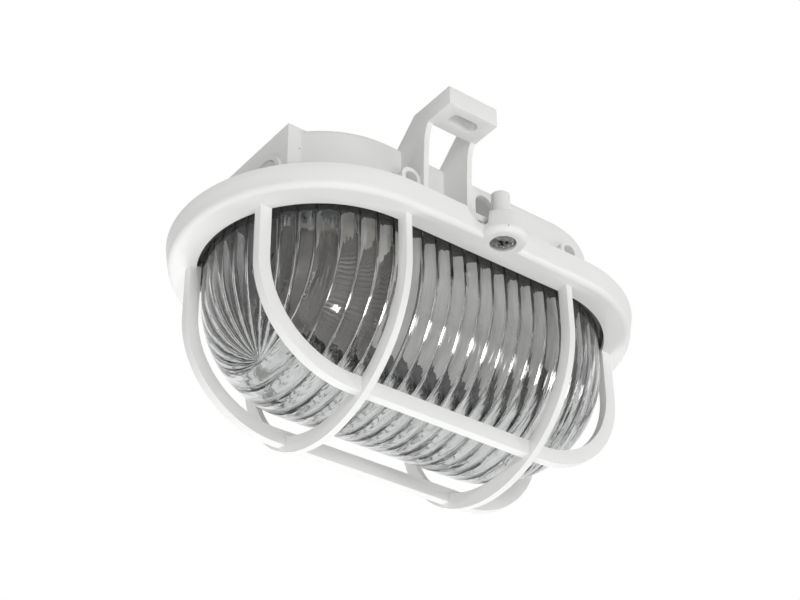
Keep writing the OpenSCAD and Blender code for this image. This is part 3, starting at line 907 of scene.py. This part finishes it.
@dataclass
class FlutedHolder:
    """The lampholder's insulating body: a plain boss, and a skirt with fine flutes to grip.

    Attributes:
        back: Place of the back face, mm.
        floor: Place of the cup's floor, mm.
        front: Place of the open edge, mm.
        z: Height of the axis, mm.
        boss_r: Radius of the boss, mm.
        boss_len: Length of the boss, mm.
        skirt_r: Radius of the skirt over its flutes, mm.
        cup_r: Radius of the cup, mm.
        edge: Bevel of the outer edges, mm.
        cup_edge: Bevel of the cup's edge, mm.
        grip_from: Distance from the back face to the flutes, mm.
        grip_to: Distance from the flutes to the open edge, mm.
        run_out: Length over which a flute runs out, mm.
        flutes: Number of flutes.
        deep: Depth of a flute, mm.
        steps: Steps round each flute.
    """

    back: float = -60.1
    floor: float = -46.1
    front: float = -18.1
    z: float = -50.0
    boss_r: float = 16.0
    boss_len: float = 10.0
    skirt_r: float = 19.0
    cup_r: float = 14.8
    edge: float = 0.5
    cup_edge: float = 0.4
    grip_from: float = 13.0
    grip_to: float = 4.0
    run_out: float = 0.8
    flutes: int = 60
    deep: float = 0.7
    steps: int = 6

    def rows(self) -> list[tuple[float, float, float]]:
        """Rows of the body from the back's middle round to the middle of the cup's floor.

        Returns:
            Place along the axis and radius in mm, and share of a flute's depth, of each row.
        """
        start, end = self.back + self.grip_from, self.front - self.grip_to
        step, rim = self.back + self.boss_len, self.skirt_r - self.edge
        boss = [(self.back, 0.0, 0.0), (self.back, self.boss_r - self.edge, 0.0),
                (self.back + self.edge, self.boss_r, 0.0), (step, self.boss_r, 0.0), (step, rim, 0.0),
                (step + self.edge, self.skirt_r, 0.0)]
        grip = [(start, self.skirt_r, 0.0), (start + self.run_out, self.skirt_r, 1.0),
                (end - self.run_out, self.skirt_r, 1.0), (end, self.skirt_r, 0.0)]
        cup = [(self.front - self.edge, self.skirt_r, 0.0), (self.front, rim, 0.0),
               (self.front, self.cup_r + self.cup_edge, 0.0), (self.front - self.cup_edge, self.cup_r, 0.0),
               (self.floor, self.cup_r, 0.0), (self.floor, 0.0, 0.0)]
        return boss + grip + cup

    def flute_tree(self) -> NodeTree:
        """Builds the tree that draws the flutes in towards the axis.

        Returns:
            The geometry node tree, with its sizes as named inputs.
        """
        tree, given = sized_tree("holder_flutes", "Flutes", "Flute depth", "Axis height")
        place = add(tree, "GeometryNodeInputPosition")
        where = add(tree, "ShaderNodeSeparateXYZ", links={0: place}).outputs
        up = add(tree, "ShaderNodeMath", {"operation": "SUBTRACT"}, {0: where["Z"], 1: given["Axis height"]})
        turn = add(tree, "ShaderNodeMath", {"operation": "ARCTAN2"}, {0: up, 1: where["Y"]})
        half = add(tree, "ShaderNodeMath", {"operation": "MULTIPLY", 1: 0.5}, {0: given["Flutes"]})
        phase = add(tree, "ShaderNodeMath", {"operation": "MULTIPLY"}, {0: turn, 1: half})
        wave = add(tree, "ShaderNodeMath", {"operation": "SINE"}, {0: phase})
        crest = add(tree, "ShaderNodeMath", {"operation": "ABSOLUTE"}, {0: wave})
        valley = add(tree, "ShaderNodeMath", {"operation": "SUBTRACT", 1: 1.0}, {0: crest})
        part = add(tree, "GeometryNodeInputNamedAttribute", {"data_type": "FLOAT", "Name": "tree_share"})
        shared = add(tree, "ShaderNodeMath", {"operation": "MULTIPLY"}, {0: valley, 1: part})
        drawn = add(tree, "ShaderNodeMath", {"operation": "MULTIPLY"},
                    {0: shared, 1: given["Flute depth"]})
        outward = add(tree, "ShaderNodeCombineXYZ", links={"Y": where["Y"], "Z": up})
        unit = add(tree, "ShaderNodeVectorMath", {"operation": "NORMALIZE"}, {0: outward})
        shift = add(tree, "ShaderNodeVectorMath", {"operation": "SCALE"}, {0: unit, "Scale": drawn})
        move_points(tree, given, shift.outputs[0])
        return tree

    def build(self) -> Object:
        """Builds the body.

        Returns:
            The finished piece.
        """
        count, rows = self.flutes * self.steps, self.rows()
        turns = [2 * math.pi * i / count for i in range(count)]
        verts = [Vector((x, r * math.cos(a), self.z + r * math.sin(a))) * MM
                 for x, r, _ in rows for a in turns]
        share = [part for _, _, part in rows for _ in turns]
        mesh = closed_mesh("lampholder_fluted", verts, ring_faces(len(rows), count), {"tree_share": share})
        piece = shown("lampholder_fluted", mesh, BAKELITE, smooth_deg=40.0)
        sizes = {"Flutes": self.flutes, "Flute depth": self.deep * MM, "Axis height": self.z * MM}
        grow(piece, self.flute_tree(), BAKELITE, sizes)
        settle(piece, Rider.BASE, "bakelite", "lampholder_body")
        return piece


@dataclass
class Fittings:
    """The small parts, which keep their CAD shape and get their own finishes.

    Attributes:
        finishes: Finish of each CAD node that stays.
    """

    finishes: dict[str, Finish] = field(default_factory=lambda: {
        "hinge_pin": ZINC_PLATE, "lampholder_shell": BRASS, "centre_contact": BRASS,
        "lampholder_bracket": STEEL_STRIP, "bracket_screws": ZINC_PLATE, "holder_screws": ZINC_PLATE,
        "terminal_block": NYLON, "terminal_tubes": BRASS, "terminal_screws": ZINC_PLATE,
        "block_screw": ZINC_PLATE, "wire_live": BROWN_PVC, "wire_neutral": BLUE_PVC,
        "cable_grommets": PALE_RUBBER, "screw_retainer": NYLON})

    def dress(self) -> None:
        """Gives each CAD node that stays its finish."""
        for node, finish in self.finishes.items():
            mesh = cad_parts[node].data
            mesh.materials.clear()
            mesh.materials.append(finish.material())
            log.info("%s: %s", node, finish.name)


@dataclass(frozen=True)
class Lamp:
    """A soft round lamp aimed at the middle of the light.

    Attributes:
        name: Name of the lamp.
        at: Its place, m.
        watts: Its power.
        size: Its width, m.
        mirrored: Whether gloss shows it.
        enters: Whether its light goes in through the glass.
    """

    name: str
    at: tuple[float, float, float]
    watts: float
    size: float
    mirrored: bool = False
    enters: bool = False

    def hang(self) -> None:
        """Adds the lamp to the scene."""
        data = bpy.data.lights.new(self.name, "AREA")
        data.energy = self.watts
        data.shape = "DISK"
        data.size = self.size
        lamp = bpy.data.objects.new(self.name, data)
        lamp.location = self.at
        lamp.rotation_mode = "QUATERNION"
        lamp.rotation_quaternion = (AIM - Vector(self.at)).to_track_quat("-Z", "Y")
        lamp.visible_glossy = self.mirrored
        lamp.visible_transmission = False
        bpy.context.scene.collection.objects.link(lamp)


@dataclass
class Studio:
    """Camera at the photograph's angle, pale floor, white surroundings and soft lamps.

    Attributes:
        camera_at: Place of the camera, m.
        forward: Direction that it looks in.
        roll_deg: Its roll.
        lens_mm: Focal length.
        sensor_mm: Width of the sensor.
        floor_z: Height of the floor, m.
        floor_far: Half the floor's width, m.
        floor_white: Share of plain white in the floor's look, which leaves the rest to light and shadow.
        surround: Strength of the white surroundings as light.
        lamps: The lamps.
    """

    camera_at: tuple[float, float, float] = (-0.3213, -0.4099, -0.3915)
    forward: tuple[float, float, float] = (0.5087, 0.6553, 0.5583)
    roll_deg: float = 0.78
    lens_mm: float = 73.88
    sensor_mm: float = 36.0
    floor_z: float = -0.85
    floor_far: float = 20.0
    floor_white: float = 0.88
    surround: float = 0.39
    lamps: tuple[Lamp, ...] = (Lamp("key", (-0.35, -0.93, -0.75), 1.9, 0.11, True, True),
                               Lamp("side", (0.78, -0.72, -0.37), 2.5, 0.28, True, True),
                               Lamp("front", (-0.2, -0.95, -0.15), 3.0, 0.5),
                               Lamp("back", (0.2, 0.6, -0.6), 4.0, 0.5),
                               Lamp("low_left", (-0.5, 0.1, -0.5), 1.4, 0.4),
                               Lamp("top", (0.3, 0.6, 0.7), 3.5, 0.5))

    def camera(self) -> None:
        """Sets the camera."""
        data = bpy.data.cameras.new("camera")
        data.sensor_width = self.sensor_mm
        data.sensor_fit = "HORIZONTAL"
        data.lens = self.lens_mm
        data.clip_start = 0.01
        camera = bpy.data.objects.new("camera", data)
        bpy.context.scene.collection.objects.link(camera)
        ahead = Vector(self.forward).normalized()
        right = ahead.cross(Vector((0, 0, 1))).normalized()
        down = ahead.cross(right)
        roll = math.radians(self.roll_deg)
        right, down = (right * math.cos(roll) + down * math.sin(roll),
                       down * math.cos(roll) - right * math.sin(roll))
        turn = Matrix((right, -down, -ahead)).transposed().to_4x4()
        camera.matrix_world = Matrix.Translation(self.camera_at) @ turn
        bpy.context.scene.camera = camera

    def looked_at(self, tree: NodeTree) -> NodeSocket:
        """Tells rays that show the background, straight or in gloss and glass, from those that light things.

        Args:
            tree: Node tree of the world or of a material.

        Returns:
            A socket that is 1 for a ray that shows the background.
        """
        ray = add(tree, "ShaderNodeLightPath").outputs
        direct = add(tree, "ShaderNodeMath", {"operation": "MAXIMUM"},
                     {0: ray["Is Camera Ray"], 1: ray["Is Glossy Ray"]})
        return add(tree, "ShaderNodeMath", {"operation": "MAXIMUM"},
                   {0: direct, 1: ray["Is Transmission Ray"]}).outputs[0]

    def world(self) -> None:
        """Makes white surroundings, which the camera, gloss and glass see as white."""
        world = bpy.data.worlds.new("white_surroundings")
        bpy.context.scene.world = world
        world.use_nodes = True
        tree = world.node_tree
        tree.nodes.clear()
        strength = add(tree, "ShaderNodeMapRange", {3: self.surround, 4: 1.0}, {0: self.looked_at(tree)})
        light = add(tree, "ShaderNodeBackground", {"Color": linear("#FFFFFF")}, {"Strength": strength})
        add(tree, "ShaderNodeOutputWorld", links={"Surface": light})

    def floor(self) -> None:
        """Lays a plain pale floor well below the light, which hangs."""
        mesh = bpy.data.meshes.new("floor")
        corners = ((-1, -1), (1, -1), (1, 1), (-1, 1))
        verts = [(x * self.floor_far, y * self.floor_far, self.floor_z) for x, y in corners]
        mesh.from_pydata(verts, [], [(0, 1, 2, 3)])
        floor = bpy.data.objects.new("floor", mesh)
        bpy.context.scene.collection.objects.link(floor)
        paint = Finish("pale_floor_paint", "#F2F2F1", "#EFEFEE", 0.8, patch_mm=400, grain_mm=30,
                       grain_depth_mm=0.01)
        mesh.materials.append(paint.material())
        tree = mesh.materials[0].node_tree
        glow = add(tree, "ShaderNodeEmission", {"Color": linear("#FFFFFF"), "Strength": 1.0})
        share = add(tree, "ShaderNodeMath", {"operation": "MULTIPLY", 1: self.floor_white},
                    {0: self.looked_at(tree)})
        painted = tree.nodes["Principled BSDF"].outputs[0]
        mixed = add(tree, "ShaderNodeMixShader", links={0: share, 1: painted, 2: glow})
        tree.links.new(mixed.outputs[0], tree.nodes["Material Output"].inputs["Surface"])

    def shine_through(self, glass: Object) -> None:
        """Lets the light of some lamps in through the glass, which stops it otherwise.

        Args:
            glass: The piece that is let through.
        """
        clear = bpy.data.collections.new("lets_light_in")
        clear.objects.link(glass)
        clear.collection_objects[0].light_linking.link_state = "EXCLUDE"
        for lamp in self.lamps:
            if lamp.enters:
                bpy.data.objects[lamp.name].light_linking.blocker_collection = clear

    def build(self) -> None:
        """Sets up the whole studio."""
        bpy.context.scene.view_settings.view_transform = "Standard"
        self.camera()
        self.world()
        self.floor()
        for lamp in self.lamps:
            lamp.hang()


def main() -> None:
    """Builds the studio, the mouldings, the glass and the fittings."""
    logging.basicConfig(level=logging.INFO)
    studio = Studio()
    studio.build()
    Moulding("base", Rider.BASE).build()
    Moulding("guard", Rider.GUARD).build()
    studio.shine_through(RibbedGlass().build())
    LippedGasket().build()
    ClosingScrew().build()
    FlutedHolder().build()
    Fittings().dress()


if __name__ == "__main__":
    main()
